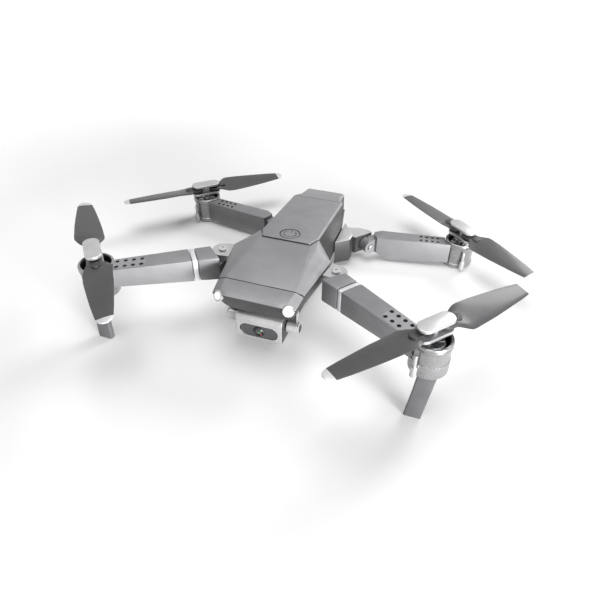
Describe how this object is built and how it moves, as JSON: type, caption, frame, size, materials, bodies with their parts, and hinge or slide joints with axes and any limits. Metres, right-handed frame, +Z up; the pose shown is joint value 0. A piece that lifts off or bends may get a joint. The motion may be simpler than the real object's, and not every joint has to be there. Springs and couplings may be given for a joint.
{
  "type": "quadcopter drone",
  "caption": "Small folding camera quadcopter with arms that fold along the body, folding two-blade rotors, a tilting nose camera, front landing legs and a slide-out battery.",
  "frame": {"origin": "centre of the bounding box in plan, at the plane the front legs and rear motor pods stand on", "axes": "+Z up, nose towards -Y, the craft's own left towards +X, arms and blades spread"},
  "size_m": [0.2722, 0.2129, 0.0528],
  "materials": {
    "top_grey": "satin mid-grey moulded plastic",
    "dark_grey": "satin dark grey moulded plastic",
    "silver": "silver painted plastic",
    "black": "charcoal moulded plastic",
    "steel": "bare machined metal",
    "clear": "clear lamp lens over white",
    "board_green": "coated circuit board"
  },
  "bodies": {
    "fuselage": {"upper_shell": "top_grey", "nose_cap": "dark_grey", "lower_shell": "dark_grey", "control_board": "board_green", "headlight_left": "clear", "headlight_right": "clear", "camera_mount_left": "silver", "camera_mount_right": "silver", "front_bracket_left": "silver", "front_bracket_right": "silver", "front_hinge_pin_left": "steel", "front_hinge_pin_right": "steel", "rear_bracket_left": "silver", "rear_bracket_right": "silver", "rear_hinge_pin_left": "steel", "rear_hinge_pin_right": "steel"},
    "camera": {"camera_housing": "silver", "camera_window": "black", "camera_lens": "black"},
    "battery": {"battery_case": "top_grey", "battery_cell": "black"},
    "button": {"power_button": "top_grey"},
    "front_arm_left": {"front_arm_root_left": "dark_grey", "front_arm_band_left": "silver", "front_arm_beam_left": "dark_grey", "front_motor_pod_left": "silver", "front_motor_left": "steel", "front_light_pipe_left": "silver", "landing_leg_left": "dark_grey"},
    "rear_arm_left": {"rear_arm_beam_left": "dark_grey", "rear_motor_pod_left": "silver", "rear_motor_left": "steel", "rear_light_pipe_left": "silver"},
    "front_hub_left": {"front_hub_base_left": "silver", "front_hub_cap_left": "silver"},
    "front_blade_a_left": {"front_blade_a_left": "black"},
    "front_blade_b_left": {"front_blade_b_left": "black"},
    "rear_hub_left": {"rear_hub_base_left": "silver", "rear_hub_cap_left": "silver"},
    "rear_blade_a_left": {"rear_blade_a_left": "black"},
    "rear_blade_b_left": {"rear_blade_b_left": "black"},
    "front_arm_right": {"front_arm_root_right": "dark_grey", "front_arm_band_right": "silver", "front_arm_beam_right": "dark_grey", "front_motor_pod_right": "silver", "front_motor_right": "steel", "front_light_pipe_right": "silver", "landing_leg_right": "dark_grey"},
    "rear_arm_right": {"rear_arm_beam_right": "dark_grey", "rear_motor_pod_right": "silver", "rear_motor_right": "steel", "rear_light_pipe_right": "silver"},
    "front_hub_right": {"front_hub_base_right": "silver", "front_hub_cap_right": "silver"},
    "front_blade_a_right": {"front_blade_a_right": "black"},
    "front_blade_b_right": {"front_blade_b_right": "black"},
    "rear_hub_right": {"rear_hub_base_right": "silver", "rear_hub_cap_right": "silver"},
    "rear_blade_a_right": {"rear_blade_a_right": "black"},
    "rear_blade_b_right": {"rear_blade_b_right": "black"}
  },
  "joints": [
    {"name": "camera_tilt", "type": "hinge", "parent": "fuselage", "child": "camera", "pos_m": [0, -0.04695, 0.0165], "axis": [1, 0, 0], "range_deg": [0, 60]},
    {"name": "battery_slide", "type": "slide", "parent": "fuselage", "child": "battery", "axis": [0, 1, 0], "range_m": [0, 0.08]},
    {"name": "power_press", "type": "slide", "parent": "battery", "child": "button", "axis": [0, -0.0911, -0.9958], "range_m": [0, 0.0005], "stiffness_N_per_m": 600, "springref_m": -0.0002},
    {"name": "front_arm_fold_left", "type": "hinge", "parent": "fuselage", "child": "front_arm_left", "pos_m": [0.0325, -0.02395, 0.036], "axis": [0, 0, 1], "range_deg": [0, 115]},
    {"name": "rear_arm_fold_left", "type": "hinge", "parent": "fuselage", "child": "rear_arm_left", "pos_m": [0.033, 0.05305, 0.01], "axis": [-0.7604, 0.6494, 0], "range_deg": [0, 180]},
    {"name": "front_rotor_spin_left", "type": "hinge", "parent": "front_arm_left", "child": "front_hub_left", "pos_m": [0.088, -0.06135, 0.0461], "axis": [0, 0, 1], "continuous": true},
    {"name": "front_blade_fold_a_left", "type": "hinge", "parent": "front_hub_left", "child": "front_blade_a_left", "pos_m": [0.09194, -0.05682, 0.04895], "axis": [0, 0, -1], "range_deg": [-75, 75]},
    {"name": "front_blade_fold_b_left", "type": "hinge", "parent": "front_hub_left", "child": "front_blade_b_left", "pos_m": [0.08406, -0.06588, 0.04895], "axis": [0, 0, 1], "range_deg": [-75, 75]},
    {"name": "rear_rotor_spin_left", "type": "hinge", "parent": "rear_arm_left", "child": "rear_hub_left", "pos_m": [0.091, 0.06745, 0.0202], "axis": [0, 0, 1], "continuous": true},
    {"name": "rear_blade_fold_a_left", "type": "hinge", "parent": "rear_hub_left", "child": "rear_blade_a_left", "pos_m": [0.09553, 0.06351, 0.02305], "axis": [0, 0, 1], "range_deg": [-75, 75]},
    {"name": "rear_blade_fold_b_left", "type": "hinge", "parent": "rear_hub_left", "child": "rear_blade_b_left", "pos_m": [0.08647, 0.07139, 0.02305], "axis": [0, 0, -1], "range_deg": [-75, 75]},
    {"name": "front_arm_fold_right", "type": "hinge", "parent": "fuselage", "child": "front_arm_right", "pos_m": [-0.0325, -0.02395, 0.036], "axis": [0, 0, -1], "range_deg": [0, 115]},
    {"name": "rear_arm_fold_right", "type": "hinge", "parent": "fuselage", "child": "rear_arm_right", "pos_m": [-0.033, 0.05305, 0.01], "axis": [-0.7604, -0.6494, 0], "range_deg": [0, 180]},
    {"name": "front_rotor_spin_right", "type": "hinge", "parent": "front_arm_right", "child": "front_hub_right", "pos_m": [-0.088, -0.06135, 0.0461], "axis": [0, 0, 1], "continuous": true},
    {"name": "front_blade_fold_a_right", "type": "hinge", "parent": "front_hub_right", "child": "front_blade_a_right", "pos_m": [-0.09194, -0.05682, 0.04895], "axis": [0, 0, 1], "range_deg": [-75, 75]},
    {"name": "front_blade_fold_b_right", "type": "hinge", "parent": "front_hub_right", "child": "front_blade_b_right", "pos_m": [-0.08406, -0.06588, 0.04895], "axis": [0, 0, -1], "range_deg": [-75, 75]},
    {"name": "rear_rotor_spin_right", "type": "hinge", "parent": "rear_arm_right", "child": "rear_hub_right", "pos_m": [-0.091, 0.06745, 0.0202], "axis": [0, 0, 1], "continuous": true},
    {"name": "rear_blade_fold_a_right", "type": "hinge", "parent": "rear_hub_right", "child": "rear_blade_a_right", "pos_m": [-0.09553, 0.06351, 0.02305], "axis": [0, 0, -1], "range_deg": [-75, 75]},
    {"name": "rear_blade_fold_b_right", "type": "hinge", "parent": "rear_hub_right", "child": "rear_blade_b_right", "pos_m": [-0.08647, 0.07139, 0.02305], "axis": [0, 0, 1], "range_deg": [-75, 75]}
  ]
}
